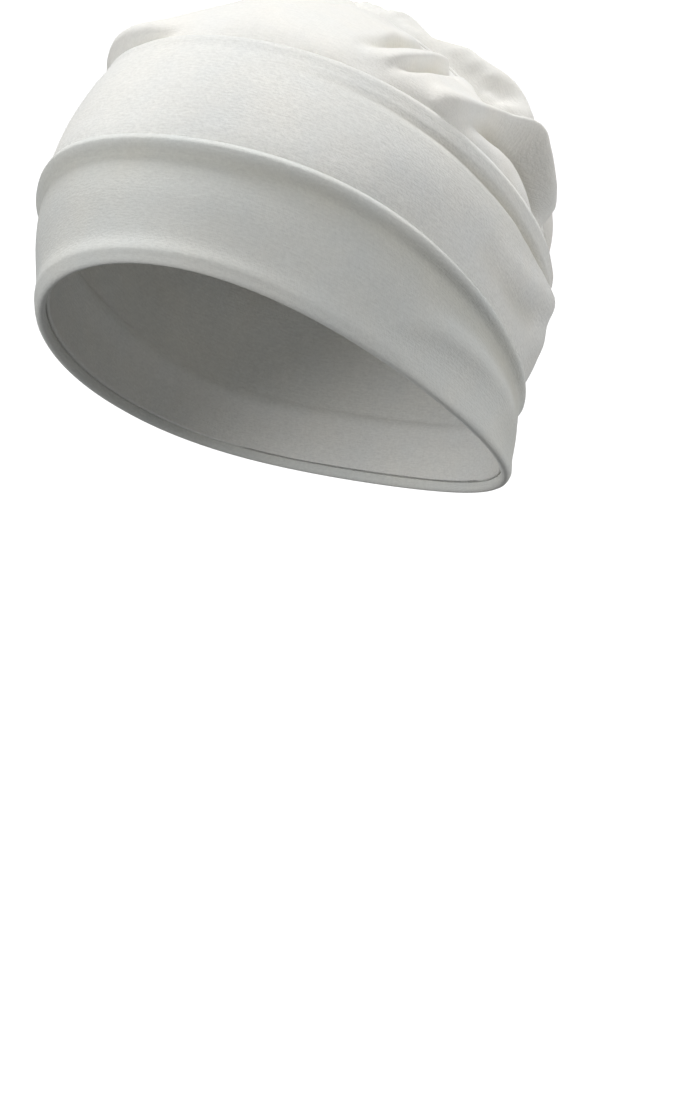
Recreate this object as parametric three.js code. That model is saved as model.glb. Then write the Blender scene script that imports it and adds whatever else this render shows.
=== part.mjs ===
// A stretch-jersey chemo cap with a turned-up cuff, built from its sewn pieces.
// Millimetres, +Z up. The brow faces -Y and the wearer's left is +X.
// The tables measure from the point midway between the ears, and the whole cap is
// then moved so that the origin is the place inside the crown where the head bears.
import * as THREE from "three";

// Cloth and clearances
const JERSEY_THICKNESS = 1.2;
const PIECE_GAP = 0.4;
const CUFF_THICKNESS = 2.2;

// Where the top of the head bears inside the crown
const HEAD_SEAT = new THREE.Vector3(0, 5, 137);

// Mesh steps
const RING_COLUMNS = 64;
const FRONT_STEPS = { across: 76, up: 12 };
const BACK_STEPS = { across: 52, up: 10 };
const SEAM_STEPS = { along: 48, round: 6 };
const FOLD_SAMPLES = 8;

// Small steps that slopes are measured over: a level, an angle and a share of a panel
const LEVEL_STEP = 0.12;
const ANGLE_STEP = 0.02;
const PANEL_STEP = 0.01;

// Three lines that run round the head. y and z are given at the brow (0 degrees),
// the temple (60), behind the ear (120) and the nape (180).
const LINES = {
  rim: {
    halfWidth: 70,
    y: { brow: -96.5, temple: -50.5, ear: 54, nape: 92 },
    z: { brow: 63, temple: 34, ear: -14, nape: -28 },
  },
  cuffTop: {
    halfWidth: 76,
    y: { brow: -87.5, temple: -48, ear: 51, nape: 99 },
    z: { brow: 101, temple: 75.5, ear: 15, nape: -5 },
  },
  bandTop: {
    halfWidth: 72.5,
    y: { brow: -54.5, temple: -12.5, ear: 73, nape: 106 },
    z: { brow: 128.5, temple: 102, ear: 49, nape: 36 },
  },
};

// How far each wall between two lines bulges at its middle, in a direction that points
// away from the head and this much upwards
const CUFF_BULGE = 0.8;
const BAND_BULGE = 1.6;
const BULGE_TILT = 0.3;

// Section of the cuff: level 0 is the rim and 1 its top fold, out is the distance
// from the form, positive away from the head.
const CUFF_OUTER_ROWS = [
  { level: -0.005, out: -0.6 },
  { level: 0.02, out: 0.6 },
  { level: 0.12, out: 0.9 },
  { level: 0.3, out: 0.4 },
  { level: 0.55, out: 0.3 },
  { level: 0.78, out: -0.9 },
  { level: 0.9, out: 0.3 },
  { level: 0.975, out: 0.5 },
  { level: 1.0, out: -0.6 },
];
const CUFF_INNER_ROWS = [
  { level: 0.97, out: 0.2 - CUFF_THICKNESS },
  { level: 0.78, out: -0.7 - CUFF_THICKNESS },
  { level: 0.45, out: -CUFF_THICKNESS },
  { level: 0.15, out: 0.1 - CUFF_THICKNESS },
  { level: 0.02, out: 0.3 - CUFF_THICKNESS },
];

// Outer rows of the band: levels below 1 lie inside the cuff, and level 2 is its hem.
const BAND_ROWS = [
  { level: 0.07, out: -CUFF_THICKNESS - PIECE_GAP },
  { level: 0.5, out: -CUFF_THICKNESS - PIECE_GAP },
  { level: 0.78, out: -0.8 - CUFF_THICKNESS - PIECE_GAP },
  { level: 0.97, out: -CUFF_THICKNESS - PIECE_GAP },
  { level: 1.2, out: -1.3 },
  { level: 1.5, out: 0.2 },
  { level: 1.76, out: 0.4 },
  { level: 1.92, out: 1.1 },
];
const BAND_HEM = { level: 1.995, out: -0.5 * JERSEY_THICKNESS };

// Folds run through three places, with a height at each, and valleys are negative.
// On the cuff and the band a place is an angle in degrees and a level.
const CUFF_FOLDS = [
  { from: [58, 0.26], via: [74, 0.56], to: [104, 0.6], width: 5, heights: [0.3, 1.4, 0.8] },
  { from: [66, 0.82], via: [84, 0.73], to: [102, 0.68], width: 5, heights: [-0.2, -0.5, -0.5] },
  { from: [80, 0.95], via: [98, 0.93], to: [114, 0.93], width: 5, heights: [0, 1.2, 1.4] },
  { from: [92, 0.28], via: [106, 0.34], to: [120, 0.4], width: 9, heights: [0, -1, 0] },
];
const BAND_FOLDS = [
  { from: [-8, 1.84], via: [50, 1.84], to: [108, 1.76], width: 4.5, heights: [-0.4, -1.9, -2.2] },
  { from: [76, 1.26], via: [92, 1.28], to: [112, 1.52], width: 5, heights: [-0.5, -1.8, -1.4] },
  { from: [80, 1.36], via: [92, 1.47], to: [106, 1.63], width: 5, heights: [0.5, 1.4, 1.2] },
  { from: [100, 1.66], via: [108, 1.45], to: [116, 1.26], width: 11, heights: [1, 3, 1] },
  { from: [-100, 1.6], via: [-110, 1.45], to: [-118, 1.28], width: 11, heights: [1, 3, 1] },
];

// The seam over the crown, from behind one ear to behind the other. splitAngle is where
// the two panels part at the band, and pinch narrows the arch towards its top.
const SEAM = {
  halfWidth: 70.5,
  topZ: 134,
  endZ: 64,
  topY: 45,
  endY: 54,
  pinch: 1.28,
  panelClearance: 0.6,
  splitAngle: THREE.MathUtils.degToRad(105),
};
const WELT = { radius: 0.9, lift: 2.2, reach: THREE.MathUtils.degToRad(88) };

// The crown's two panels, which rise from inside the band to the seam. lean is how far
// the cloth stands up from the band's slope, at the middle and at the sides. rise, reach
// and puff draw its curve: up from the band, out from the seam and above the seam. Fold
// places are shares: across from -1 to 1 towards the wearer's left, and up from band to seam.
const PANELS = {
  front: {
    direction: -1,
    lean: { middle: 0.45, side: 0.9 },
    rise: 19,
    reach: 24,
    puff: 8,
    gathers: { count: 13, depth: 1.2 },
    folds: [
      { from: [0.28, 0.18], via: [0.355, 0.38], to: [0.37, 0.84], width: 4.5, heights: [-1, -4.5, -4] },
      { from: [0.33, 0.17], via: [0.405, 0.34], to: [0.43, 0.86], width: 4, heights: [0.5, 2.5, 3] },
      { from: [0.36, 0.15], via: [0.445, 0.34], to: [0.475, 0.8], width: 4.5, heights: [-1, -4.5, -4] },
      { from: [0.45, 0.14], via: [0.545, 0.48], to: [0.66, 0.82], width: 7, heights: [2, 6.5, 9] },
      { from: [0.68, 0.84], via: [0.77, 0.84], to: [0.87, 0.76], width: 8, heights: [5, 9, 0] },
      { from: [0.52, 0.22], via: [0.645, 0.6], to: [0.82, 0.66], width: 6, heights: [-3, -9, -5] },
      { from: [-0.5, 0.3], via: [-0.62, 0.5], to: [-0.72, 0.78], width: 8, heights: [1, 5, 3] },
      { from: [-0.35, 0.4], via: [-0.4, 0.6], to: [-0.44, 0.82], width: 5, heights: [-1, -3, -1] },
      { from: [-0.6, 0.38], via: [-0.46, 0.24], to: [-0.28, 0.18], width: 8, heights: [1, 4, 1] },
    ],
  },
  back: {
    direction: 1,
    lean: { middle: 0.9, side: 0.9 },
    rise: 48,
    reach: 17,
    puff: 15,
    gathers: { count: 9, depth: -1 },
    folds: [
      { from: [0.54, 0.6], via: [0.46, 0.72], to: [0.37, 0.84], width: 9, heights: [4, 8, 4] },
      { from: [-0.55, 0.55], via: [-0.47, 0.7], to: [-0.38, 0.86], width: 9, heights: [2, 5, 2] },
      { from: [0.1, 0.6], via: [0.05, 0.72], to: [0, 0.86], width: 8, heights: [1, 2.5, 1] },
      { from: [0.3, 0.62], via: [0.27, 0.75], to: [0.24, 0.86], width: 6, heights: [-1, -3, -2] },
      { from: [0.44, 0.92], via: [0.48, 0.82], to: [0.5, 0.7], width: 4, heights: [-1, -3.5, -1] },
    ],
  },
};

// The crown's edge inside the band, from its cut edge up to the band's hem
const TUCK_ROWS = [
  { level: 1.84, out: -4 },
  { level: 1.93, out: -2.3 },
];
const CROWN_START = { level: 2, out: -JERSEY_THICKNESS - PIECE_GAP };
const HEM_SLOPE_FROM = { level: 1.7 };
const HEM_SLOPE_TO = { level: 2 };

// A panel's curve is drawn for this run from band to seam, and scaled within limits
// where the panel is shorter or longer. Its lean is full beyond sideStart.
const PANEL_RUN = { full: 90, least: 0.1, most: 1.2, sideStart: 0.5 };

// Shares of the way up a panel where folds and gathers grow and fade
const FADE = { foldsFull: 0.2, gathersStart: 0.3, gathersFull: 0.85, seamStart: 0.85, sidePower: 8 };

const CLOTH = {
  cuff: { color: 0xdfe4e1, roughness: 0.9, metalness: 0 },
  band: { color: 0xe9e7e1, roughness: 0.92, metalness: 0 },
  crown: { color: 0xf2f0e8, roughness: 0.92, metalness: 0 },
  seam: { color: 0xf4f3ee, roughness: 0.85, metalness: 0 },
};

// A smooth even curve round the head through its four named values.
function around(values, angle) {
  const { brow, temple, ear, nape } = values;
  const mean = (brow + 2 * temple + 2 * ear + nape) / 6;
  const first = (brow + temple - ear - nape) / 3;
  const second = (brow - temple - ear + nape) / 3;
  const third = (brow - 2 * temple + 2 * ear - nape) / 6;
  return mean + first * Math.cos(angle) + second * Math.cos(2 * angle) + third * Math.cos(3 * angle);
}

function linePoint(line, angle) {
  const x = line.halfWidth * Math.sin(angle);
  return new THREE.Vector3(x, around(line.y, angle), around(line.z, angle));
}

// Level 0 is the rim, 1 the cuff's top and 2 the band's top.
function formPoint(level, angle) {
  const upper = level > 1;
  const share = upper ? level - 1 : level;
  const low = linePoint(upper ? LINES.cuffTop : LINES.rim, angle);
  const high = linePoint(upper ? LINES.bandTop : LINES.cuffTop, angle);
  const bulge = (upper ? BAND_BULGE : CUFF_BULGE) * 4 * share * (1 - share);
  const outward = new THREE.Vector3(Math.sin(angle), -Math.cos(angle), BULGE_TILT).normalize();
  return low.lerp(high, share).addScaledVector(outward, Math.max(bulge, 0));
}

function formNormal(level, angle) {
  const above = formPoint(Math.min(level + LEVEL_STEP, 2), angle);
  const below = formPoint(Math.max(level - LEVEL_STEP, 0), angle);
  const left = formPoint(level, angle + ANGLE_STEP);
  const right = formPoint(level, angle - ANGLE_STEP);
  const upward = above.sub(below);
  const sideways = left.sub(right);
  return sideways.cross(upward).normalize();
}

function wallPoint(row, angle, folds = []) {
  const point = formPoint(row.level, angle);
  const out = row.out + foldHeight(folds, point);
  return point.addScaledVector(formNormal(row.level, angle), out);
}

// The outer rows, the hem and then the inner rows one thickness further in
function hemmedSection(rows, hem, thickness) {
  const inner = rows.map(({ level, out }) => ({ level, out: out - thickness })).reverse();
  return [...rows, hem, ...inner];
}

function seamPoint(angle) {
  const across = Math.abs(Math.sin(angle)) ** SEAM.pinch;
  const over = Math.abs(Math.cos(angle)) ** SEAM.pinch;
  const x = SEAM.halfWidth * Math.sign(Math.sin(angle)) * across;
  const y = THREE.MathUtils.lerp(SEAM.endY, SEAM.topY, over);
  const z = THREE.MathUtils.lerp(SEAM.endZ, SEAM.topZ, over);
  return new THREE.Vector3(x, y, z);
}

// Square to the seam, away from the head
function seamOutward(angle) {
  const limit = Math.PI / 2;
  const ahead = seamPoint(Math.min(angle + ANGLE_STEP, limit));
  const behind = seamPoint(Math.max(angle - ANGLE_STEP, -limit));
  return ahead.sub(behind).cross(new THREE.Vector3(0, 1, 0)).normalize();
}

// The angle on the band under a place across the panel, from -1 to 1
function bandAngle(panel, across) {
  const clearance = SEAM.panelClearance / LINES.bandTop.halfWidth;
  if (panel.direction < 0) {
    return across * (SEAM.splitAngle - clearance);
  }
  return Math.PI - across * (Math.PI - SEAM.splitAngle - clearance);
}

// The panel's smooth form: up is 0 at the band's hem and 1 at the seam.
function panelForm(panel, across, up) {
  const angle = bandAngle(panel, across);
  const seamAngle = (across * Math.PI) / 2;
  const toSeam = new THREE.Vector3(0, panel.direction, 0);
  const start = wallPoint(CROWN_START, angle);
  const end = seamPoint(seamAngle).addScaledVector(toSeam, SEAM.panelClearance);
  const hemSlope = formPoint(HEM_SLOPE_TO.level, angle).sub(formPoint(HEM_SLOPE_FROM.level, angle));
  const upright = new THREE.Vector3(0, 0, 1);
  const toSide = Math.min(Math.abs(across) / PANEL_RUN.sideStart, 1) ** 2;
  const lean = THREE.MathUtils.lerp(panel.lean.middle, panel.lean.side, toSide);
  const away = hemSlope.normalize().lerp(upright, lean);
  const run = start.distanceTo(end) / PANEL_RUN.full;
  const size = THREE.MathUtils.clamp(run, PANEL_RUN.least, PANEL_RUN.most);
  const leave = start.clone().addScaledVector(away.normalize(), panel.rise * size);
  const arrive = end
    .clone()
    .addScaledVector(toSeam, panel.reach * size)
    .addScaledVector(seamOutward(seamAngle), panel.puff * Math.sqrt(size));
  return new THREE.CubicBezierCurve3(start, leave, arrive, end).getPoint(up);
}

function panelNormal(panel, across, up) {
  const left = panelForm(panel, Math.min(across + PANEL_STEP, 1), up);
  const right = panelForm(panel, Math.max(across - PANEL_STEP, -1), up);
  const above = panelForm(panel, across, Math.min(up + PANEL_STEP, 1));
  const below = panelForm(panel, across, Math.max(up - PANEL_STEP, 0));
  const normal = left.sub(right).cross(above.sub(below)).normalize();
  return normal.multiplyScalar(-panel.direction);
}

// Adds to each fold its path in space: place turns a fold's pair of numbers into a point.
function laidFolds(folds, place) {
  return folds.map((fold) => {
    const [from, via, to] = [fold.from, fold.via, fold.to].map((pair) => new THREE.Vector2(...pair));
    const control = via.multiplyScalar(2).addScaledVector(from, -0.5).addScaledVector(to, -0.5);
    const spots = new THREE.QuadraticBezierCurve(from, control, to).getPoints(FOLD_SAMPLES);
    return { ...fold, path: spots.map((spot) => place(spot.x, spot.y)) };
  });
}

// Height of all folds at a point: each is a rounded ridge or valley along its path.
function foldHeight(folds, point) {
  let total = 0;
  for (const { path, width, heights } of folds) {
    const [start, middle, end] = heights;
    const { distance, along } = nearestOnPath(path, point);
    const height = start * (1 - along) * (1 - 2 * along) + middle * 4 * along * (1 - along)
      + end * along * (2 * along - 1);
    total += height * Math.exp(-((distance / width) ** 2));
  }
  return total;
}

function nearestOnPath(path, point) {
  const nearest = { distance: Infinity, along: 0 };
  const runs = path.length - 1;
  const spot = new THREE.Vector3();
  for (let run = 0; run < runs; run += 1) {
    const share = new THREE.Line3(path[run], path[run + 1]).closestPointToPointParameter(point, true);
    const distance = spot.lerpVectors(path[run], path[run + 1], share).distanceTo(point);
    if (distance < nearest.distance) {
      nearest.distance = distance;
      nearest.along = (run + share) / runs;
    }
  }
  return nearest;
}

// Even gathers that deepen towards the seam and flatten under its stitches
function gatherHeight(gathers, across, up) {
  const grown = THREE.MathUtils.smoothstep(up, FADE.gathersStart, FADE.gathersFull);
  const sides = 1 - across ** FADE.sidePower;
  return gathers.depth * grown * sides * Math.cos(Math.PI * gathers.count * across);
}

function panelPoint(panel, folds, across, up) {
  const point = panelForm(panel, across, up);
  const fromHem = THREE.MathUtils.smoothstep(up, 0, FADE.foldsFull);
  const toSeam = 1 - THREE.MathUtils.smoothstep(up, FADE.seamStart, 1);
  const relief = foldHeight(folds, point) * fromHem + gatherHeight(panel.gathers, across, up);
  return point.addScaledVector(panelNormal(panel, across, up), relief * toSeam);
}

// A closed body from points and triangles, turned so that its faces point out
function closedBody(points, faces) {
  let volume = 0;
  for (const [a, b, c] of faces) {
    volume += points[a].dot(points[b].clone().cross(points[c]));
  }
  const turned = volume < 0 ? faces.map(([a, b, c]) => [a, c, b]) : faces;
  const geometry = new THREE.BufferGeometry().setFromPoints(points);
  geometry.setIndex(turned.flat());
  geometry.computeVertexNormals();
  return geometry;
}

function quad(a, b, c, d) {
  return [[a, b, c], [a, c, d]];
}

// A closed section carried along columns. A run that doesn't close on itself gets end
// walls, strips between the section's first half and its second half.
function sectionBody(columns, closed) {
  const rows = columns[0].length;
  const runs = closed ? columns.length : columns.length - 1;
  const faces = [];
  for (let column = 0; column < runs; column += 1) {
    const here = column * rows;
    const next = ((column + 1) % columns.length) * rows;
    for (let row = 0; row < rows; row += 1) {
      const after = (row + 1) % rows;
      faces.push(...quad(here + row, next + row, next + after, here + after));
    }
  }
  if (!closed) {
    const last = (columns.length - 1) * rows;
    for (let row = 0; row < rows / 2 - 1; row += 1) {
      const facing = rows - 1 - row;
      faces.push(...quad(row, row + 1, facing - 1, facing));
      faces.push(...quad(last + row, last + facing, last + facing - 1, last + row + 1));
    }
  }
  return closedBody(columns.flat(), faces);
}

// A wall that runs round the head: its folds move the first rows and leave the others.
function ringBody(foldedRows, stillRows, folds) {
  const laid = laidFolds(folds, (degrees, level) => formPoint(level, THREE.MathUtils.degToRad(degrees)));
  const columns = [];
  for (let column = 0; column < RING_COLUMNS; column += 1) {
    const angle = (2 * Math.PI * column) / RING_COLUMNS;
    const folded = foldedRows.map((row) => wallPoint(row, angle, laid));
    const still = stillRows.map((row) => wallPoint(row, angle));
    columns.push([...folded, ...still]);
  }
  return sectionBody(columns, true);
}

// Outward direction at each place of a grid of points, from its neighbours
function gridNormals(grid, sign) {
  return grid.map((column, i) => column.map((_, j) => {
    const left = grid[Math.min(i + 1, grid.length - 1)][j];
    const right = grid[Math.max(i - 1, 0)][j];
    const above = column[Math.min(j + 1, column.length - 1)];
    const below = column[Math.max(j - 1, 0)];
    const sideways = left.clone().sub(right);
    const upward = above.clone().sub(below);
    return sideways.cross(upward).normalize().multiplyScalar(sign);
  }));
}

// One jersey panel with its thickness, as a loop of rows: up outside, down inside
function panelBody(panel, steps) {
  const folds = laidFolds(panel.folds, (across, up) => panelForm(panel, across, up));
  const ups = Array.from({ length: steps.up + 1 }, (_, row) => row / steps.up);
  const outer = [];
  for (let column = 0; column <= steps.across; column += 1) {
    const across = (2 * column) / steps.across - 1;
    const tucked = TUCK_ROWS.map((row) => wallPoint(row, bandAngle(panel, across)));
    outer.push([...tucked, ...ups.map((up) => panelPoint(panel, folds, across, up))]);
  }
  const normals = gridNormals(outer, -panel.direction);
  const columns = outer.map((column, i) => {
    const inner = column.map((point, j) => {
      return point.clone().addScaledVector(normals[i][j], -JERSEY_THICKNESS);
    });
    return [...column, ...inner.reverse()];
  });
  return sectionBody(columns, false);
}

// The raised welt of the seam, a thin round cord of cloth along the valley
function weltBody() {
  const centres = [];
  for (let step = 0; step <= SEAM_STEPS.along; step += 1) {
    const angle = WELT.reach * ((2 * step) / SEAM_STEPS.along - 1);
    centres.push(seamPoint(angle).addScaledVector(seamOutward(angle), WELT.lift));
  }
  const columns = centres.map((centre, step) => {
    const ahead = centres[Math.min(step + 1, centres.length - 1)];
    const behind = centres[Math.max(step - 1, 0)];
    const along = ahead.clone().sub(behind).normalize();
    const depth = new THREE.Vector3(0, 1, 0).cross(along).normalize();
    const width = along.clone().cross(depth);
    return Array.from({ length: SEAM_STEPS.round }, (_, side) => {
      const turn = (2 * Math.PI * side) / SEAM_STEPS.round;
      return centre.clone()
        .addScaledVector(width, WELT.radius * Math.cos(turn))
        .addScaledVector(depth, WELT.radius * Math.sin(turn));
    });
  });
  return sectionBody(columns, false);
}

function piece(name, geometry, cloth) {
  const mesh = new THREE.Mesh(geometry, new THREE.MeshStandardMaterial(cloth));
  mesh.name = name;
  return mesh;
}

const bandSection = hemmedSection(BAND_ROWS, BAND_HEM, JERSEY_THICKNESS);
const chemoCap = new THREE.Group();
chemoCap.name = "chemo_cap";
chemoCap.add(
  piece("cuff", ringBody(CUFF_OUTER_ROWS, CUFF_INNER_ROWS, CUFF_FOLDS), CLOTH.cuff),
  piece("band", ringBody(bandSection, [], BAND_FOLDS), CLOTH.band),
  piece("crown_front", panelBody(PANELS.front, FRONT_STEPS), CLOTH.crown),
  piece("crown_back", panelBody(PANELS.back, BACK_STEPS), CLOTH.crown),
  piece("crown_seam", weltBody(), CLOTH.seam),
);
chemoCap.position.copy(HEAD_SEAT).negate();

export default chemoCap;
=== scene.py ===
import itertools
import math

import bpy
import numpy as np
from mathutils import Matrix, Vector


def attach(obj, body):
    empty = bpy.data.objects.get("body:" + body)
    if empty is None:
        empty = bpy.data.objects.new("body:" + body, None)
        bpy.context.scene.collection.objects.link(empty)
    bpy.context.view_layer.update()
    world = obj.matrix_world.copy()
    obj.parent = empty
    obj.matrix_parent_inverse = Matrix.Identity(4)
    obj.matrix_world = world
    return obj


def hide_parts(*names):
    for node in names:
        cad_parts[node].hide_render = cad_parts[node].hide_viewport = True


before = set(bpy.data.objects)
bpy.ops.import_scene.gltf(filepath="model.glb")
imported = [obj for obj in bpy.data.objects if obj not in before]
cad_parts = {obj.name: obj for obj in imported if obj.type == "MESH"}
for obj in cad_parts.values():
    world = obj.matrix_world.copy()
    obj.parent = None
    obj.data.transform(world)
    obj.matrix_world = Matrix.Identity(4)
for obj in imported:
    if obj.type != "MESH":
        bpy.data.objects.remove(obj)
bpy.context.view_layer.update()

# The cap's form is worked out in millimetres from the point midway between the ears,
# and the meshes are then moved to the frame's origin, inside the crown's top, in metres.
MM = 0.001
HEAD_SEAT = np.array([0.0, 5.0, 137.0])

# Cloth and clearances
JERSEY = 1.2
GAP = 0.4

# Mesh steps
RING_COLUMNS = 560
CUFF_STEPS = 100
BAND_STEPS = 120
FRONT_STEPS = {"across": 400, "up": 104}
BACK_STEPS = {"across": 320, "up": 100}
SEAM_STEPS = {"along": 700, "round": 12}
EDGE_STEPS = 8
FOLD_SAMPLES = 5

# The knit: a loop's width and height and the size of the streaks along the cloth, all in
# millimetres, and how fine the fuzz and the broad clouds of shade are, per metre. Detail
# is how many finer layers each has. The clouds also turn the colour between warm and cool.
WALE = 0.64
COURSE = 0.5
STREAK = {"length": 3.0, "height": 0.6, "detail": 3}
FUZZ = {"scale": 1100, "detail": 4}
CLOUDS = {"scale": 45, "detail": 3, "turn": (0.04, 0.0, -0.05)}

# How far the knit's loops wander with the streaks and lean, how much of its relief is in
# the ribs and in the loops, its mean height, and what each kind of detail adds to the
# cloth's bumps and to its shade
KNIT = {"wander": 0.8, "lean": 1.2, "ribs": 0.7, "loops": 0.25, "mean": 0.45}
BUMP = {"strength": 0.6, "depth": 0.00012}
BUMP_SHARES = {"knit": 0.3, "streaks": 1.6, "fuzz": 2.2}
SHADE_SHARES = {"clouds": 0.06, "knit": 0.02}
JERSEY_FINISH = {
    "Roughness": 0.92,
    "Specular IOR Level": 0.2,
    "Sheen Weight": 0.15,
    "Sheen Roughness": 0.6,
}

# The pieces are all the same white jersey: the cuff's darker, cooler colour and the lighter colour of the
# crown and the seam are painted shade and painted light. Each cloth's colour, and how much its streaks
# and fuzz change the shade
CLOTH_COLOURS_WITH_PAINTED_SHADE = {
    "cuff": ((0.76, 0.77, 0.74), 0.18),
    "band": ((0.82, 0.82, 0.79), 0.24),
    "crown": ((0.88, 0.87, 0.83), 0.14),
    "seam": ((0.88, 0.87, 0.84), 0.12),
}

# Small steps that slopes are measured over: a level, an angle and a share of a panel.
# No direction is divided by less than the least length.
LEVEL_STEP = 0.12
ANGLE_STEP = 0.02
PANEL_STEP = 0.01
LEAST_LENGTH = 1e-9

# Three lines that run round the head. y and z are given at the brow (0 degrees),
# the temple (60), behind the ear (120) and the nape (180).
LINES = {
    "rim": {"half_width": 70.0, "y": (-96.5, -50.5, 54.0, 92.0), "z": (63.0, 34.0, -14.0, -28.0)},
    "cuff_top": {"half_width": 76.0, "y": (-87.5, -48.0, 51.0, 99.0), "z": (101.0, 75.5, 15.0, -5.0)},
    "band_top": {"half_width": 72.5, "y": (-54.5, -12.5, 73.0, 106.0), "z": (128.5, 102.0, 49.0, 36.0)},
}
CUFF_BULGE = 0.8
BAND_BULGE = 1.6
BULGE_TILT = 0.3
NOMINAL_HEIGHT = 42.0

# Sections of the two walls. Columns: level (0 rim, 1 cuff's top, 2 band's top),
# millimetres further up, millimetres out, and how much folds move this row.
CUFF_OUTER = [
    (0.0, 2.2, 1.25, 0.6),
    (0.095, 0.0, 1.05, 1.0),
    (0.15, 0.0, 0.65, 1.0),
    (0.24, 0.0, 0.1, 1.0),
    (0.36, 0.0, -0.05, 1.0),
    (0.55, 0.0, 0.0, 1.0),
    (0.7, 0.0, -0.1, 1.0),
    (0.8, 0.0, -0.3, 1.0),
    (0.85, 0.0, -0.4, 1.0),
    (0.885, 0.0, -0.1, 1.0),
    (0.925, 0.0, 0.35, 1.0),
    (0.955, 0.0, 0.35, 0.9),
    (0.98, 0.0, 0.0, 0.9),
]
CUFF_INNER = [
    (0.95, 0.0, -2.4, 0.0),
    (0.9, 0.0, -3.6, 0.0),
    (0.83, 0.0, -4.1, 0.0),
    (0.72, 0.0, -3.3, 0.0),
    (0.56, 0.0, -2.3, 0.0),
    (0.45, 0.0, -2.2, 0.0),
    (0.16, 0.0, -2.15, 0.0),
]
CUFF_TOP_EDGE = {"level": 1.0, "up": -0.75, "out": -1.3, "radius": 0.75}
CUFF_LOW_EDGE = {"level": 0.0, "up": 1.6, "out": -0.5, "radius": 1.65}

BAND_OUTER = [
    (0.14, 0.0, -2.25, 0.0),
    (0.3, 0.0, -2.4, 0.0),
    (0.55, 0.0, -2.7, 0.0),
    (0.7, 0.0, -3.8, 0.0),
    (0.82, 0.0, -4.6, 0.0),
    (0.91, 0.0, -4.1, 0.0),
    (0.96, 0.0, -2.9, 0.0),
    (1.0, 0.5, -2.6, 0.0),
    (1.1, 0.0, -1.6, 0.3),
    (1.22, 0.0, -0.9, 0.8),
    (1.5, 0.0, 0.2, 1.0),
    (1.74, 0.0, 0.45, 1.0),
    (2.0, -5.4, 0.3, 1.0),
    (2.0, -3.4, 0.3, 1.0),
    (2.0, -1.8, 0.75, 1.0),
    (2.0, -0.5, 0.75, 1.0),
]
BAND_TOP_EDGE = {"level": 2.0, "up": 0.3, "out": -0.3, "radius": 0.75}
BAND_LOW_EDGE = {"level": 0.0, "up": 3.5, "out": -2.85, "radius": 0.6}

# Folds: the width in millimetres, and then the places that each one runs through with its
# height there, and valleys are negative. On the cuff and the band a place is an angle in
# degrees and a level.
CUFF_FOLDS = [
    (2.8, (-80, 0.87, -0.2), (-45, 0.87, -0.7), (0, 0.865, -0.9), (50, 0.85, -0.9),
     (78, 0.83, -0.5), (104, 0.81, -0.3)),
    (6.5, (-80, 0.83, 0), (-45, 0.83, -0.7), (0, 0.81, -1.0), (40, 0.79, -1.0),
     (66, 0.77, -0.5), (84, 0.77, 0)),
    (6.5, (52, 0.78, 0), (74, 0.745, -1.2), (92, 0.72, -1.9), (108, 0.71, -1.8), (126, 0.74, -0.4)),
    (2.4, (-80, 0.94, 0.4), (-45, 0.94, 0.4), (0, 0.94, 0.5), (50, 0.94, 0.5),
     (100, 0.94, 0.9), (140, 0.94, 0.2)),
    (2.6, (-60, 0.12, 0), (-32, 0.12, 0.7), (0, 0.11, 1.0), (28, 0.11, 0.7), (60, 0.11, 0.2)),
    (4.2, (56, 0.28, 0.3), (66, 0.44, 1.2), (80, 0.535, 1.7), (96, 0.565, 1.6), (112, 0.58, 0.8)),
    (9, (92, 0.26, 0), (106, 0.32, -0.8), (120, 0.38, 0)),
]
BAND_FOLDS = [
    (3.4, (8, 1.885, 0), (35, 1.885, -0.8), (60, 1.885, -2), (85, 1.87, -3.2), (108, 1.85, -3)),
    (8.0, (12, 1.76, 0), (60, 1.76, -0.6), (108, 1.72, -0.6)),
    (5, (76, 1.26, -0.5), (92, 1.28, -1.8), (112, 1.52, -1.4)),
    (5, (80, 1.36, 0.5), (92, 1.47, 1.4), (106, 1.63, 1.2)),
    (11, (100, 1.66, 1), (108, 1.45, 3), (116, 1.26, 1)),
    (11, (-100, 1.6, 1), (-110, 1.45, 3), (-118, 1.28, 1)),
]

# The seam over the crown, from behind one ear to behind the other. The pinch shapes its
# arch, and the tuck draws its ends in, close to them where the power is high. The panels
# keep the clearance from it, and their sides meet at the split, an angle round the band.
SEAM = {
    "half_width": 70.5,
    "end_tuck": 3.5,
    "end_power": 12,
    "top_z": 134.0,
    "end_z": 60.5,
    "top_y": 45.0,
    "end_y": 54.0,
    "pinch": 1.28,
    "clearance": 0.3,
    "split": math.radians(105),
}

# The seam's ridge: half its width, half its depth and its lift off the seam. Each side
# reaches down to an angle and tapers over another, and the stitches bite into it.
WELT = {
    "width": 1.0,
    "depth": 0.7,
    "lift": 0.15,
    "reach": math.radians(89.5),
    "taper": math.radians(2),
    "bite": 0.12,
    "bite_power": 8,
    "stitch": 2.2,
    "least_end": 0.05,
}

# How far the cloth is turned in at the seam, and the shares of it that have a row
ALLOWANCE = 3.5
TURNED_SHARES = (0.15, 0.45, 0.75, 1.0)

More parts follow.
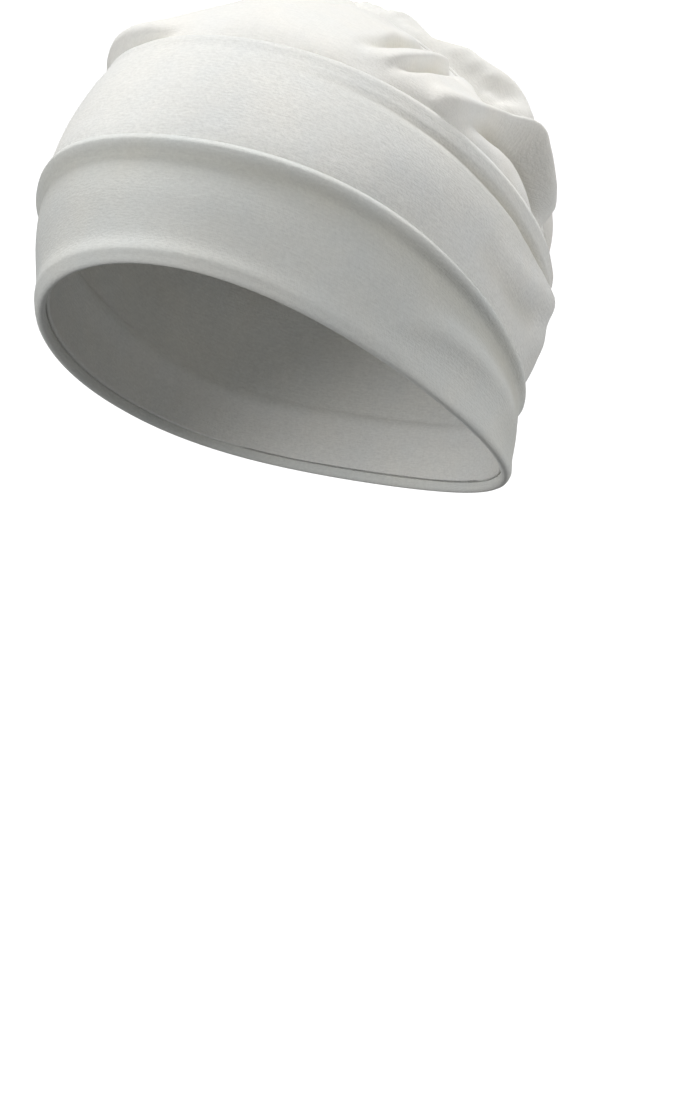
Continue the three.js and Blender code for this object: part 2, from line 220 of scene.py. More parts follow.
# The crown's two panels, which rise from inside the band to the seam. A panel leaves the
# band by its rise, more upright by its lean at the middle and at the sides, and comes to
# the seam from its reach away, puffed out. Fold places are shares: across from -1 to 1
# towards the wearer's left, and up from band to seam.
PANELS = {
    "front": {
        "direction": -1,
        "lean": (0.45, 0.9),
        "rise": 19.0,
        "reach": 24.0,
        "puff": 8.0,
        "gathers": {"count": 13, "depth": 1.0},
        "folds": [
            (2.4, (0.277, 0.22, -0.5), (0.31, 0.36, -3), (0.317, 0.54, -5.5),
             (0.32, 0.72, -6.5), (0.31, 0.9, -1)),
            (3.0, (0.315, 0.17, 0.5), (0.362, 0.24, 2), (0.39, 0.42, 2.5), (0.38, 0.8, 2.5)),
            (2.3, (0.365, 0.17, -0.5), (0.398, 0.29, -3.5), (0.413, 0.48, -5.5),
             (0.41, 0.68, -4.5), (0.4, 0.86, 0)),
            (4.5, (0.462, 0.15, 0.5), (0.488, 0.17, 3.5), (0.522, 0.25, 5.5), (0.555, 0.42, 7.5),
             (0.585, 0.66, 11), (0.62, 0.82, 14.5), (0.67, 0.85, 14), (0.74, 0.83, 11.5),
             (0.81, 0.78, 7), (0.87, 0.7, 0)),
            (5.5, (0.52, 0.18, -1), (0.57, 0.4, -6.5), (0.61, 0.6, -12), (0.655, 0.71, -15),
             (0.72, 0.72, -14), (0.78, 0.68, -9), (0.84, 0.61, -3)),
            (8, (-0.5, 0.3, 1), (-0.62, 0.5, 5), (-0.72, 0.78, 3)),
            (5, (-0.35, 0.4, -1), (-0.4, 0.6, -3), (-0.44, 0.82, -1)),
            (8, (-0.6, 0.38, 1), (-0.46, 0.24, 4), (-0.28, 0.18, 1)),
            (4, (-0.56, 0.26, 0.5), (-0.43, 0.19, 1.5), (-0.33, 0.15, 2), (-0.2, 0.13, 1),
             (-0.1, 0.13, 0)),
            (2, (-0.52, 0.13, -0.5), (-0.43, 0.1, -2.5), (-0.345, 0.075, -4), (-0.25, 0.055, -3),
             (-0.15, 0.05, 0)),
        ],
    },
    "back": {
        "direction": 1,
        "lean": (0.9, 0.9),
        "rise": 48.0,
        "reach": 17.0,
        "puff": 15.0,
        "gathers": {"count": 9, "depth": -1.0},
        "folds": [
            (9, (0.54, 0.6, 4), (0.46, 0.72, 8), (0.37, 0.84, 4)),
            (9, (-0.55, 0.55, 2), (-0.47, 0.7, 5), (-0.38, 0.86, 2)),
            (8, (0.1, 0.6, 1), (0.05, 0.72, 2.5), (0, 0.86, 1)),
            (6, (0.3, 0.62, -1), (0.27, 0.75, -3), (0.24, 0.86, -2)),
            (4, (0.44, 0.92, -1), (0.48, 0.82, -3.5), (0.5, 0.7, -1)),
        ],
    },
}

# Rise and reach hold for a full run from band to seam, and change with the run between
# the least and the most. From the side start on, the lean is that of the sides.
PANEL_RUN = {"full": 90.0, "least": 0.1, "most": 1.2, "side_start": 0.5}
PANEL_HALF_WIDTH = 105.0

# Where folds, gathers and the seam's hold fade in, as shares up the panel, and the shares
# across it between which the gathers fade out
FADE = {
    "folds_full": 0.1,
    "gathers_start": 0.5,
    "gathers_full": 0.9,
    "seam_start": 0.85,
    "sides": (0.45, 0.7),
}

# The level from which the slope at the band's top is taken, and the levels and distances
# out of the panels' edge rows, tucked down inside the band, and of their visible start
HEM_SLOPE_FROM = 1.7
TUCK_ROWS = [(1.82, -4.0), (1.87, -3.3), (1.93, -2.3), (1.97, -1.8)]
CROWN_START = (2.0, -JERSEY - GAP)

# Painted shade: cloth deep in a fold is painted darker and warmer, standing in for the shade there. The
# fold depths in millimetres that count as deep, and the share of each colour that is kept there
DEEP_FOLD = {"ring": 3.2, "panel": 6.5}
DEEP_SHADE = (0.7, 0.68, 0.62)

# Gathers aren't even: they wander by this share of their own width, over this distance,
# and so do the places where they start and are full. Fine puckers stand between them.
WANDER = {"size": 22.0, "share": 0.9, "start": 0.12, "full": 0.05, "seed_step": 7}
PUCKERS = {"count": 47, "depth": 0.3, "start": 0.78, "wander": 1.2}

# Loose unevenness of the cloth: columns are size in millimetres and height
UNEVEN = {
    "cuff": [(26.0, 0.35), (9.0, 0.08)],
    "band": [(24.0, 0.4), (8.0, 0.1)],
    "crown": [(20.0, 0.8), (8.0, 0.2)],
}

# The seeds of the random heights, how many heights a seed makes, and the numbers that
# spread the places in space over them
SEEDS = {"cuff": 11, "band": 23, "front": 31, "back": 47}
RANDOM_COUNT = 4096
CELL_SPREAD = (73856093, 19349663, 83492791)

# A pale floor, walls and ceiling, well away from the cap, in metres. The ceiling is as far
# above the floor as the walls are from the cap.
FLOOR_Z = -1.3
ROOM_HALF = 8.0
PALE_FINISH = {
    "Base Color": (0.95, 0.95, 0.95, 1),
    "Roughness": 0.9,
    "Specular IOR Level": 0.1,
    "Emission Color": (1, 1, 1, 1),
    "Emission Strength": 1.0,
}

# The lights, as fitted to the photograph's shades, with distances in metres. Columns:
# azimuth from the brow towards the wearer's left and height above the horizon, both in
# degrees, and power in watts.
LIGHT_AIM = Vector((0, 0, -0.06))
LIGHT_DISTANCE = 1.6
LIGHT_SIZE = 0.7
LIGHTS = {
    "key": (-130, 78, 20.5),
    "front": (-25, 10, 11.5),
    "side": (105, 10, 10.5),
}
WORLD_STRENGTH = 0.2

# The camera, as fitted to the photograph of 680 by 1098 pixels. Its place is how far it
# stands to the right of, above and behind the point midway between the ears, in
# millimetres along its own axes. The sensor is in millimetres too.
CAMERA = {
    "azimuth": 22.0,
    "elevation": 11.0,
    "roll": 4.36,
    "place": (21.3, -36.26, 1175.0),
    "focal_px": 3650.56,
}
PHOTO_HEIGHT = 1098
SENSOR = 36.0


def unit(vectors):
    return vectors / np.maximum(np.linalg.norm(vectors, axis=-1, keepdims=True), LEAST_LENGTH)


def smoothstep(value, start, end):
    share = np.clip((value - start) / (end - start), 0, 1)
    return share * share * (3 - 2 * share)


def around(values, angle):
    """A smooth even curve round the head through its four named values."""
    brow, temple, ear, nape = values
    mean = (brow + 2 * temple + 2 * ear + nape) / 6
    first = (brow + temple - ear - nape) / 3
    second = (brow - temple - ear + nape) / 3
    third = (brow - 2 * temple + 2 * ear - nape) / 6
    return mean + first * np.cos(angle) + second * np.cos(2 * angle) + third * np.cos(3 * angle)


def line_point(name, angle):
    line = LINES[name]
    return np.stack(
        [line["half_width"] * np.sin(angle), around(line["y"], angle), around(line["z"], angle)], -1
    )


def form_point(level, angle):
    """Level 0 is the rim, 1 the cuff's top and 2 the band's top."""
    level, angle = np.broadcast_arrays(np.asarray(level, float), np.asarray(angle, float))
    upper = level > 1
    share = np.where(upper, level - 1, level)
    pick = upper[..., None]
    low = np.where(pick, line_point("cuff_top", angle), line_point("rim", angle))
    high = np.where(pick, line_point("band_top", angle), line_point("cuff_top", angle))
    bulge = np.maximum(np.where(upper, BAND_BULGE, CUFF_BULGE) * 4 * share * (1 - share), 0)
    outward = unit(np.stack([np.sin(angle), -np.cos(angle), np.full(angle.shape, BULGE_TILT)], -1))
    return low + (high - low) * share[..., None] + outward * bulge[..., None]


def form_upward(level, angle):
    above = form_point(np.minimum(level + LEVEL_STEP, 2), angle)
    below = form_point(np.maximum(level - LEVEL_STEP, 0), angle)
    return above - below


def form_normal(level, angle):
    sideways = form_point(level, angle + ANGLE_STEP) - form_point(level, angle - ANGLE_STEP)
    return unit(np.cross(sideways, form_upward(level, angle)))


def wall_point(level, out, angle):
    return form_point(level, angle) + form_normal(level, angle) * np.asarray(out)[..., None]


def seam_point(angle):
    across = np.abs(np.sin(angle)) ** SEAM["pinch"]
    over = np.abs(np.cos(angle)) ** SEAM["pinch"]
    half_width = SEAM["half_width"] - SEAM["end_tuck"] * across ** SEAM["end_power"]
    x = half_width * np.sign(np.sin(angle)) * across
    y = SEAM["end_y"] + (SEAM["top_y"] - SEAM["end_y"]) * over
    z = SEAM["end_z"] + (SEAM["top_z"] - SEAM["end_z"]) * over
    return np.stack([x, y, z], -1)


def seam_outward(angle):
    """Square to the seam, away from the head."""
    limit = math.pi / 2
    ahead = seam_point(np.minimum(angle + ANGLE_STEP, limit))
    behind = seam_point(np.maximum(angle - ANGLE_STEP, -limit))
    return unit(np.cross(ahead - behind, np.array([0.0, 1.0, 0.0])))


def band_angle(panel, across):
    """The angle on the band under a place across the panel, from -1 to 1."""
    clearance = SEAM["clearance"] / LINES["band_top"]["half_width"]
    if panel["direction"] < 0:
        return across * (SEAM["split"] - clearance)
    return math.pi - across * (math.pi - SEAM["split"] - clearance)


def panel_form(panel, across, up):
    """The panel's smooth form: up is 0 at the band's hem and 1 at the seam."""
    across, up = np.broadcast_arrays(np.asarray(across, float), np.asarray(up, float))
    angle = band_angle(panel, across)
    seam_angle = across * math.pi / 2
    to_seam = np.array([0.0, panel["direction"], 0.0])
    start = wall_point(np.full(angle.shape, CROWN_START[0]), CROWN_START[1], angle)
    end = seam_point(seam_angle) + to_seam * SEAM["clearance"]
    slope = unit(form_point(2.0, angle) - form_point(HEM_SLOPE_FROM, angle))
    middle, side = panel["lean"]
    to_side = np.minimum(np.abs(across) / PANEL_RUN["side_start"], 1) ** 2
    lean = (middle + (side - middle) * to_side)[..., None]
    away = unit(slope * (1 - lean) + np.array([0.0, 0.0, 1.0]) * lean)
    run = np.linalg.norm(start - end, axis=-1, keepdims=True) / PANEL_RUN["full"]
    size = np.clip(run, PANEL_RUN["least"], PANEL_RUN["most"])
    leave = start + away * panel["rise"] * size
    puff = panel["puff"] * (1 - np.abs(across[..., None]) ** SEAM["end_power"])
    arrive = end + to_seam * panel["reach"] * size + seam_outward(seam_angle) * puff * np.sqrt(size)
    t = up[..., None]
    return (1 - t) ** 3 * start + 3 * t * (1 - t) ** 2 * leave + 3 * t * t * (1 - t) * arrive + t**3 * end


def panel_normal(panel, across, up):
    left = panel_form(panel, np.minimum(across + PANEL_STEP, 1), up)
    right = panel_form(panel, np.maximum(across - PANEL_STEP, -1), up)
    above = panel_form(panel, across, np.minimum(up + PANEL_STEP, 1))
    below = panel_form(panel, across, np.maximum(up - PANEL_STEP, 0))
    return unit(np.cross(left - right, above - below)) * -panel["direction"]


def smooth_run(rows, steps):
    """Even steps along a smooth open curve through the rows."""
    rows = np.array(rows, float)
    padded = np.concatenate([2 * rows[:1] - rows[1:2], rows, 2 * rows[-1:] - rows[-2:-1]])
    place = np.linspace(0, len(rows) - 1, steps)
    first = np.minimum(place.astype(int), len(rows) - 2)
    t = (place - first)[:, None]
    before, start, end, after = (padded[first + shift] for shift in range(4))
    bend = 2 * before - 5 * start + 4 * end - after
    twist = 3 * (start - end) + after - before
    return start + 0.5 * t * (end - before + t * (bend + t * twist))


def laid_folds(folds, place):
    """Each fold's width, path in space and heights. place turns number pairs into points."""
    laid = []
    for width, *places in folds:
        run = smooth_run(places, FOLD_SAMPLES * (len(places) - 1) + 1)
        laid.append((width, place(run[:, 0], run[:, 1]), run[:, 2]))
    return laid


def fold_height(laid, points):
    """Height of all folds: each is a rounded ridge or valley along its path."""
    total = np.zeros(points.shape[:-1])
    for width, path, heights in laid:
        nearest = np.full(total.shape, np.inf)
        height = np.zeros(total.shape)
        for a, b, low, high in zip(path[:-1], path[1:], heights[:-1], heights[1:]):
            share = np.clip(((points - a) @ (b - a)) / ((b - a) @ (b - a)), 0, 1)
            distance = np.linalg.norm(points - a - share[..., None] * (b - a), axis=-1)
            closer = distance < nearest
            nearest = np.where(closer, distance, nearest)
            height = np.where(closer, low + (high - low) * share, height)
        total += height * np.exp(-((nearest / width) ** 2))
    return total


def uneven_height(points, rows, seed):
    """Smooth random heights, the sum of a few sizes."""
    total = np.zeros(points.shape[:-1])
    for order, (size, height) in enumerate(rows):
        table = np.random.default_rng(seed + order).uniform(-1, 1, RANDOM_COUNT)
        cell = np.floor(points / size).astype(np.int64)
        share = points / size - cell
        ease = share**3 * (share * (share * 6 - 15) + 10)
        for corner in itertools.product((0, 1), repeat=3):
            spread = (cell + np.array(corner)) * CELL_SPREAD
            key = np.bitwise_xor.reduce(spread, axis=-1) % RANDOM_COUNT
            weight = np.prod(np.where(corner, ease, 1 - ease), axis=-1)
            total += height * table[key] * weight
    return total


def edge_rows(edge, start_turn):
    """Rows that round an edge: half a turn from the outer side over the top, or back below."""
    rows = []
    for turn in np.linspace(0, math.pi, EDGE_STEPS + 1):
        angle = start_turn + turn
        up = edge["up"] + edge["radius"] * math.sin(angle)
        out = edge["out"] + edge["radius"] * math.cos(angle)
        rows.append((edge["level"], up, out, 0.0))
    return rows


def smooth_loop(rows, steps):
    """Even steps along a smooth closed curve through the rows, and its length."""
    rows = np.array(rows, float)
    spots = np.stack([rows[:, 0] * NOMINAL_HEIGHT + rows[:, 1], rows[:, 2]], -1)
    gaps = np.linalg.norm(np.roll(spots, -1, axis=0) - spots, axis=-1)
    place = np.concatenate([[0], np.cumsum(gaps)])
    before, after = np.roll(rows, 1, axis=0), np.roll(rows, -1, axis=0)
    slopes = (after - before) / (gaps + np.roll(gaps, 1))[:, None]
    wanted = np.linspace(0, place[-1], steps, endpoint=False)
    first = np.searchsorted(place, wanted, side="right") - 1
    second = (first + 1) % len(rows)
    gap = gaps[first][:, None]
    t = (wanted - place[first])[:, None] / gap
    curve = (
        (2 * t**3 - 3 * t**2 + 1) * rows[first]
        + (t**3 - 2 * t**2 + t) * gap * slopes[first]
        + (3 * t**2 - 2 * t**3) * rows[second]
        + (t**3 - t**2) * gap * slopes[second]
    )
    return curve, wanted, place[-1]


def whole_steps(length, step):
    """The length that holds a whole number of steps, so that knit meets itself."""
    return round(length / step) * step


def ring_grid(section, steps, folds, uneven, seed, top):
    """A closed section carried round the head, its cloth coordinates, and the painted shade from its fold
    depths.

    The section stands square to the wall at each level, and above top to the wall there.
    The coordinates are in millimetres, with one more column and one more row than the
    points, so that the knit runs on where the ring and the section close.
    """
    curve, along, length = smooth_loop(section, steps)
    angle = np.linspace(0, 2 * math.pi, RING_COLUMNS, endpoint=False)[:, None] + np.zeros(steps)
    level, up, out, give = (curve[:, column] + np.zeros(angle.shape) for column in range(4))
    clipped = np.clip(level, 0, 2)
    spot = form_point(clipped, angle)
    laid = laid_folds(folds, lambda degrees, height: form_point(height, np.radians(degrees)))
    folded = give * fold_height(laid, spot)
    out = out + folded + give * uneven_height(spot, uneven, seed)
    wall = np.minimum(clipped, top)
    upward = unit(form_upward(wall, angle))
    points = spot + upward * up[..., None] + form_normal(wall, angle) * out[..., None]
    radius = 0.5 * (LINES["cuff_top"]["half_width"] + abs(LINES["cuff_top"]["y"][0]))
    sideways = np.linspace(0, whole_steps(2 * math.pi * radius, WALE), RING_COLUMNS + 1)
    upwards = np.append(along, length) * whole_steps(length, COURSE) / length
    cloth = np.stack(np.meshgrid(sideways, upwards, indexing="ij"), -1)
    # Painted shade: how much darker the ring's cloth is painted deep in its folds
    return points, cloth, np.clip(-folded / DEEP_FOLD["ring"], 0, 1)


def panel_grid(panel, steps, uneven, seed):
    """A crown panel's outer face, its cloth coordinates, and the painted shade from its fold depths.

    The face has its tucked edge first, and last the seam allowance that is turned in.
    """
    across = np.linspace(-1, 1, steps["across"] + 1)[:, None]
    up = np.linspace(0, 1, steps["up"] + 1)[None, :]
    across, up = np.broadcast_arrays(across, up)
    laid = laid_folds(panel["folds"], lambda a, b: panel_form(panel, a, b))
    smooth = panel_form(panel, across, up)
    folded = fold_height(laid, smooth) * smoothstep(up, 0, FADE["folds_full"])
    relief = folded + uneven_height(smooth, uneven, seed) * smoothstep(up, 0, FADE["folds_full"])
    wander = uneven_height(smooth, [(WANDER["size"], 1.0)], seed + WANDER["seed_step"])
    sides = 1 - smoothstep(np.abs(across), *FADE["sides"])
    for count, depth, start, drift in (
        (panel["gathers"]["count"], panel["gathers"]["depth"], FADE["gathers_start"], WANDER["share"]),
        (PUCKERS["count"], PUCKERS["depth"], PUCKERS["start"], PUCKERS["wander"]),
    ):
        begun = start + WANDER["start"] * wander
        full = FADE["gathers_full"] + WANDER["full"] * wander
        grown = smoothstep(up, begun, full)
        relief = relief + depth * grown * sides * np.cos(math.pi * (count * across + drift * wander))
    held = 1 - smoothstep(up, FADE["seam_start"], 1)
    points = smooth + panel_normal(panel, across, up) * (relief * held)[..., None]
    edge_angle = band_angle(panel, across[:, 0])
    tuck = [wall_point(np.full(edge_angle.shape, level), out, edge_angle) for level, out in TUCK_ROWS]
    inward = -seam_outward(across[:, 0] * math.pi / 2)
    turned = [points[:, -1] + inward * ALLOWANCE * share for share in TURNED_SHARES]
    grid = np.concatenate([np.stack(tuck, 1), points, np.stack(turned, 1)], 1)
    # Painted shade: how much darker the panel's cloth is painted deep in its folds
    painted_fold_shade = np.clip(-folded * held / DEEP_FOLD["panel"], 0, 1)
    painted_fold_shade = np.pad(painted_fold_shade, ((0, 0), (len(tuck), len(turned))))
    rows = (np.arange(grid.shape[1]) - len(tuck)) * PANEL_RUN["full"] / steps["up"]
    sideways = across[:, 0] * PANEL_HALF_WIDTH
    cloth = np.stack(np.meshgrid(sideways, rows, indexing="ij"), -1)
    return grid, cloth, painted_fold_shade


def grid_normals(grid, sign):
    sideways = np.gradient(grid, axis=0)
    upward = np.gradient(grid, axis=1)
    return sign * unit(np.cross(sideways, upward))


def grid_faces(columns, rows, wrap_columns, wrap_rows):
    """Quads of a grid whose columns or rows may close on themselves."""
    column = np.arange(columns if wrap_columns else columns - 1)[:, None]
    row = np.arange(rows if wrap_rows else rows - 1)[None, :]
    right = (column + 1) % columns
    above = (row + 1) % rows
    sides = [(column, row), (right, row), (right, above), (column, above)]
    corners = np.broadcast_arrays(*[side * rows + height for side, height in sides])
    return np.stack(corners, -1).reshape(-1, 4)


def end_walls(columns, rows, stride):
    """Strips that close both ends of a run, between its section's first and second half."""
    low = np.arange(rows // 2 - 1)
    walls = np.stack([low, low + 1, rows - 2 - low, rows - 1 - low], -1)
    return [walls, (walls + (columns - 1) * stride)[:, ::-1]]


def cloth_piece(name, points, faces, cloth, cloth_faces, painted_fold_shade, material):
    """A smooth mesh from points in the head's millimetres, with cloth values and the painted shade of its
    folds.
    """
    flat = points.reshape(-1, 3)
    a, b, c, d = (flat[faces[:, corner]] for corner in range(4))
    volume = np.einsum("ij,ij->i", a, np.cross(b, c)) + np.einsum("ij,ij->i", a, np.cross(c, d))
    if volume.sum() < 0:
        faces, cloth_faces = faces[:, ::-1], cloth_faces[:, ::-1]
    mesh = bpy.data.meshes.new(name)
    mesh.from_pydata(((flat - HEAD_SEAT) * MM).tolist(), [], faces.tolist())
    layer = mesh.uv_layers.new(name="cloth")
    layer.data.foreach_set("uv", cloth.reshape(-1, 2)[cloth_faces.ravel()].ravel())
    depths = mesh.attributes.new("painted_fold_shade", "FLOAT", "POINT")
    depths.data.foreach_set("value", painted_fold_shade.ravel())
    mesh.shade_smooth()
    mesh.materials.append(material)
    mesh.validate()
    piece = bpy.data.objects.new(name, mesh)
    bpy.context.scene.collection.objects.link(piece)
    return piece


def ring_piece(name, section, steps, folds, top, material):
    points, cloth, painted_fold_shade = ring_grid(section, steps, folds, UNEVEN[name], SEEDS[name], top)
    faces = grid_faces(RING_COLUMNS, steps, True, True)
    cloth_faces = grid_faces(RING_COLUMNS + 1, steps + 1, False, False)
    return cloth_piece(name + "_cloth", points, faces, cloth, cloth_faces, painted_fold_shade, material)


def strip_piece(name, loop, cloth, painted_fold_shade, material):
    """A closed section carried along columns, with walls at both ends."""
    columns, rows = loop.shape[:2]
    faces = [grid_faces(columns, rows, False, True)] + end_walls(columns, rows, rows)
    cloth_faces = [grid_faces(columns, rows + 1, False, False)] + end_walls(columns, rows, rows + 1)
    faces, cloth_faces = np.concatenate(faces), np.concatenate(cloth_faces)
    return cloth_piece(name, loop, faces, cloth, cloth_faces, painted_fold_shade, material)


def panel_piece(name, steps, material):
    """A crown panel with its thickness: the outer rows, and back along the inner rows."""
    panel = PANELS[name]
    grid, cloth, painted_fold_shade = panel_grid(panel, steps, UNEVEN["crown"], SEEDS[name])
    inner = grid - grid_normals(grid, -panel["direction"]) * JERSEY
    loop = np.concatenate([grid, inner[:, ::-1]], 1)
    cloth = np.concatenate([cloth, cloth[:, ::-1], cloth[:, :1]], 1)
    painted_fold_shade = np.concatenate([painted_fold_shade, np.zeros(painted_fold_shade.shape)], 1)
    return strip_piece("crown_" + name + "_cloth", loop, cloth, painted_fold_shade, material)


def welt_piece(name, material):
    """The raised ridge of the seam, a flattened cord with small stitch bites."""
    angle = np.linspace(-WELT["reach"], WELT["reach"], SEAM_STEPS["along"] + 1)
    outward = seam_outward(angle)
    centre = seam_point(angle) + outward * WELT["lift"]
    along = np.concatenate([[0], np.cumsum(np.linalg.norm(np.diff(centre, axis=0), axis=1))])
    bite = 1 - WELT["bite"] * np.cos(2 * math.pi * along / WELT["stitch"]) ** WELT["bite_power"]
    ends = np.sqrt(np.clip((WELT["reach"] - np.abs(angle)) / WELT["taper"], WELT["least_end"], 1))
    size = (bite * ends)[:, None, None]
    turn = np.linspace(0, 2 * math.pi, SEAM_STEPS["round"], endpoint=False)
    across = np.array([0.0, 1.0, 0.0])
    sideways = across * (WELT["width"] * np.cos(turn))[None, :, None]
    upwards = outward[:, None] * (WELT["depth"] * np.sin(turn))[None, :, None]
    points = centre[:, None] + (sideways + upwards) * size
    girth = np.append(turn, 2 * math.pi) * WELT["width"]
    cloth = np.stack(np.meshgrid(along, girth, indexing="ij"), -1)
    return strip_piece(name, points, cloth, np.zeros(points.shape[:2]), material)


def jersey(name, colour, mottle):
    """Fine knit. Loops, streaks along the cloth and fuzz give its relief and its shades."""
    material = bpy.data.materials.new(name)
    material.use_nodes = True
    nodes, links = material.node_tree.nodes, material.node_tree.links
    shader = nodes["Principled BSDF"]
    for socket, value in JERSEY_FINISH.items():
        shader.inputs[socket].default_value = value

    def node(kind, **settings):
        made = nodes.new(kind)
        for key, value in settings.items():
            setattr(made, key, value)
        return made

    def feed(sockets, values):
        for socket, value in zip(sockets, values):
            if isinstance(value, bpy.types.NodeSocket):
                links.new(value, socket)
            else:
                socket.default_value = value

    def maths(operation, *values):
        made = node("ShaderNodeMath", operation=operation)
        feed(made.inputs, values)
        return made.outputs[0]

    def vector_maths(operation, first, second):
        made = node("ShaderNodeVectorMath", operation=operation)
        second_socket = "Scale" if operation == "SCALE" else 1
        feed((made.inputs[0], made.inputs[second_socket]), (first, second))
        return made.outputs["Vector"]

    def noise(vector, scale, detail):
        made = node("ShaderNodeTexNoise", noise_dimensions="3D")
        made.inputs["Scale"].default_value = scale
        made.inputs["Detail"].default_value = detail
        links.new(vector, made.inputs["Vector"])
        return maths("SUBTRACT", made.outputs["Fac"], 0.5)

    def weighted(parts):
        total = None
        for value, weight in parts:
            part = maths("MULTIPLY", value, weight)
            total = part if total is None else maths("ADD", total, part)
        return total

    cloth = node("ShaderNodeUVMap", uv_map="cloth").outputs["UV"]
    place = node("ShaderNodeTexCoord").outputs["Object"]
    squeezed = vector_maths("MULTIPLY", cloth, (1 / STREAK["length"], 1 / STREAK["height"], 1))
    streaks = noise(squeezed, 1.0, STREAK["detail"])
    fuzz = noise(place, FUZZ["scale"], FUZZ["detail"])
    clouds = noise(place, CLOUDS["scale"], CLOUDS["detail"])

    # The knit's ribs and loops
    split = node("ShaderNodeSeparateXYZ")
    links.new(cloth, split.inputs[0])
    wandered = maths("MULTIPLY", streaks, KNIT["wander"])
    wale = maths("ADD", maths("MULTIPLY", split.outputs["X"], 1 / WALE), wandered)
    ribs = maths("ABSOLUTE", maths("SINE", maths("MULTIPLY", wale, math.pi)))
    lean = maths("MULTIPLY", maths("PINGPONG", wale, 0.5), KNIT["lean"])
    course = maths("ADD", maths("MULTIPLY", split.outputs["Y"], 1 / COURSE), lean)
    loops = maths("SINE", maths("MULTIPLY", course, 2 * math.pi))
    knit = weighted([(ribs, KNIT["ribs"]), (loops, KNIT["loops"])])

    bump = node("ShaderNodeBump")
    bump.inputs["Strength"].default_value = BUMP["strength"]
    bump.inputs["Distance"].default_value = BUMP["depth"]
    details = {"knit": knit, "streaks": streaks, "fuzz": fuzz}
    relief = weighted([(details[name], share) for name, share in BUMP_SHARES.items()])
    links.new(relief, bump.inputs["Height"])
    links.new(bump.outputs["Normal"], shader.inputs["Normal"])

    # The cloth's colour with its mottled shade, and the painted shade that darkens and warms it deep in a
    # fold
    raised = maths("SUBTRACT", knit, KNIT["mean"])
    shade = weighted([
        (streaks, mottle),
        (fuzz, mottle),
        (clouds, SHADE_SHARES["clouds"]),
        (raised, SHADE_SHARES["knit"]),
    ])
    tinted = vector_maths("ADD", colour, vector_maths("SCALE", CLOUDS["turn"], clouds))
    mottled = vector_maths("SCALE", tinted, maths("ADD", shade, 1.0))
    # Painted shade: the colour is darkened and warmed where the folds are deep
    painted_fold_shade = node("ShaderNodeAttribute", attribute_name="painted_fold_shade").outputs["Fac"]
    lost = vector_maths("SCALE", [1 - share for share in DEEP_SHADE], painted_fold_shade)
    kept = vector_maths("SUBTRACT", (1, 1, 1), lost)
    links.new(vector_maths("MULTIPLY", mottled, kept), shader.inputs["Base Color"])
    return material


def pale_room():
    """A floor with plain walls and a ceiling, which light nothing and cast no shadow."""
    material = bpy.data.materials.new("pale_floor")
    material.use_nodes = True
    shader = material.node_tree.nodes["Principled BSDF"]
    for socket, value in PALE_FINISH.items():
        shader.inputs[socket].default_value = value
    mesh = bpy.data.meshes.new("floor_and_walls")
    ring = [(-1, -1), (1, -1), (1, 1), (-1, 1)]
    heights = (FLOOR_Z, FLOOR_Z + ROOM_HALF)
    corners = [(x * ROOM_HALF, y * ROOM_HALF, z) for z in heights for x, y in ring]
    walls = [(side, (side + 1) % 4, (side + 1) % 4 + 4, side + 4) for side in range(4)]
    mesh.from_pydata(corners, [], [(0, 1, 2, 3), (7, 6, 5, 4)] + walls)
    mesh.materials.append(material)
    room = bpy.data.objects.new("floor_and_walls", mesh)
    room.visible_diffuse = False
    room.visible_glossy = False
    room.visible_shadow = False
    bpy.context.scene.collection.objects.link(room)


def studio_light(name, azimuth, elevation, power):
    turn, height = math.radians(azimuth), math.radians(elevation)
    towards = Vector(
        (math.sin(turn) * math.cos(height), -math.cos(turn) * math.cos(height), math.sin(height))
    )
    data = bpy.data.lights.new(name, "AREA")
    data.shape = "DISK"
    data.size = LIGHT_SIZE
    data.energy = power
    light = bpy.data.objects.new(name, data)
    light.location = LIGHT_AIM + towards * LIGHT_DISTANCE
    light.rotation_mode = "QUATERNION"
    light.rotation_quaternion = (-towards).to_track_quat("-Z", "Y")
    bpy.context.scene.collection.objects.link(light)


def pale_world(strength):
    world = bpy.data.worlds.new("studio")
    world.use_nodes = True
    background = world.node_tree.nodes["Background"]
    background.inputs["Color"].default_value = (1, 1, 1, 1)
    background.inputs["Strength"].default_value = strength
    bpy.context.scene.world = world


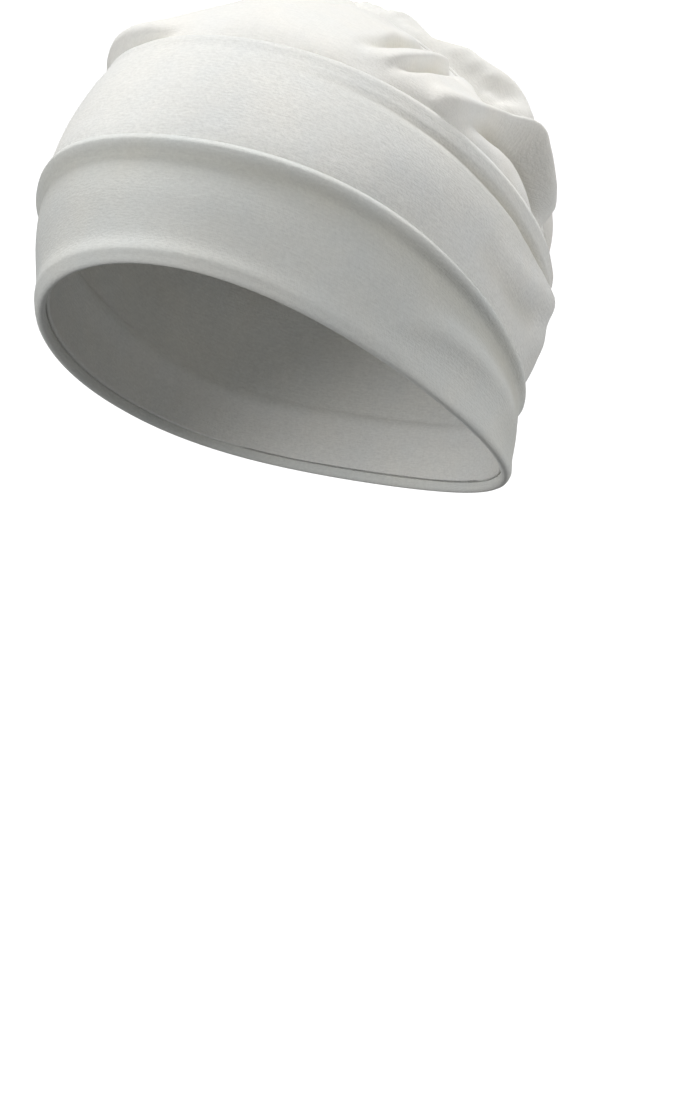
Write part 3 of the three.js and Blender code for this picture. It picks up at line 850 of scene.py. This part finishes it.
def photo_camera():
    azimuth, elevation, roll = (math.radians(CAMERA[key]) for key in ("azimuth", "elevation", "roll"))
    back = np.array(
        [
            math.sin(azimuth) * math.cos(elevation),
            -math.cos(azimuth) * math.cos(elevation),
            math.sin(elevation),
        ]
    )
    level = np.array([math.cos(azimuth), math.sin(azimuth), 0.0])
    upright = np.cross(back, level)
    right = math.cos(roll) * level + math.sin(roll) * upright
    up = math.cos(roll) * upright - math.sin(roll) * level
    across, above, away = CAMERA["place"]
    place = (right * across + up * above + back * away - HEAD_SEAT) * MM
    data = bpy.data.cameras.new("camera")
    data.sensor_width = SENSOR
    data.lens = CAMERA["focal_px"] / PHOTO_HEIGHT * SENSOR
    camera = bpy.data.objects.new("camera", data)
    turned = Matrix((right, up, back)).transposed().to_4x4()
    camera.matrix_world = Matrix.Translation(Vector(place)) @ turned
    bpy.context.scene.collection.objects.link(camera)
    bpy.context.scene.camera = camera


# The pieces of cloth
cuff_section = (
    CUFF_OUTER + edge_rows(CUFF_TOP_EDGE, 0) + CUFF_INNER + edge_rows(CUFF_LOW_EDGE, math.pi)
)
band_inner = [(level, up, out - JERSEY, give) for level, up, out, give in reversed(BAND_OUTER)]
band_section = (
    BAND_OUTER + edge_rows(BAND_TOP_EDGE, 0) + band_inner + edge_rows(BAND_LOW_EDGE, math.pi)
)
# The knits' colours differ between the pieces by painted light and shade
knits = {name: jersey(name + "_jersey_knit", *row) for name, row in CLOTH_COLOURS_WITH_PAINTED_SHADE.items()}
cuff = ring_piece("cuff", cuff_section, CUFF_STEPS, CUFF_FOLDS, 1 - LEVEL_STEP, knits["cuff"])
band = ring_piece("band", band_section, BAND_STEPS, BAND_FOLDS, 2, knits["band"])
crown_front = panel_piece("front", FRONT_STEPS, knits["crown"])
crown_back = panel_piece("back", BACK_STEPS, knits["crown"])
seam = welt_piece("crown_seam_welt", knits["seam"])

# Columns: piece, node, slot, the cut's width and length in metres, its area in square
# metres, how it is held, and what it rests on
SHEETS = [
    (cuff, "cuff", "cuff_jersey", 0.58, 0.045, 0.0200, "folded", ["band_cloth"]),
    (band, "band", "band_jersey", 0.55, 0.088, 0.0390, "stretched", ["cuff_cloth"]),
    (crown_front, "crown_front", "crown_jersey", 0.24, 0.13, 0.0200, "gathered", ["band_cloth"]),
    (crown_back, "crown_back", "crown_jersey", 0.22, 0.15, 0.0210, "gathered", ["band_cloth"]),
]
for piece, node_name, slot, width, length, area, held, below in SHEETS:
    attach(piece, "root")
    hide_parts(node_name)
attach(seam, "root")
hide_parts("crown_seam")

# The studio and the camera
pale_room()
pale_world(WORLD_STRENGTH)
for light_name, (azimuth, elevation, power) in LIGHTS.items():
    studio_light(light_name, azimuth, elevation, power)
bpy.context.scene.view_settings.view_transform = "Standard"
photo_camera()
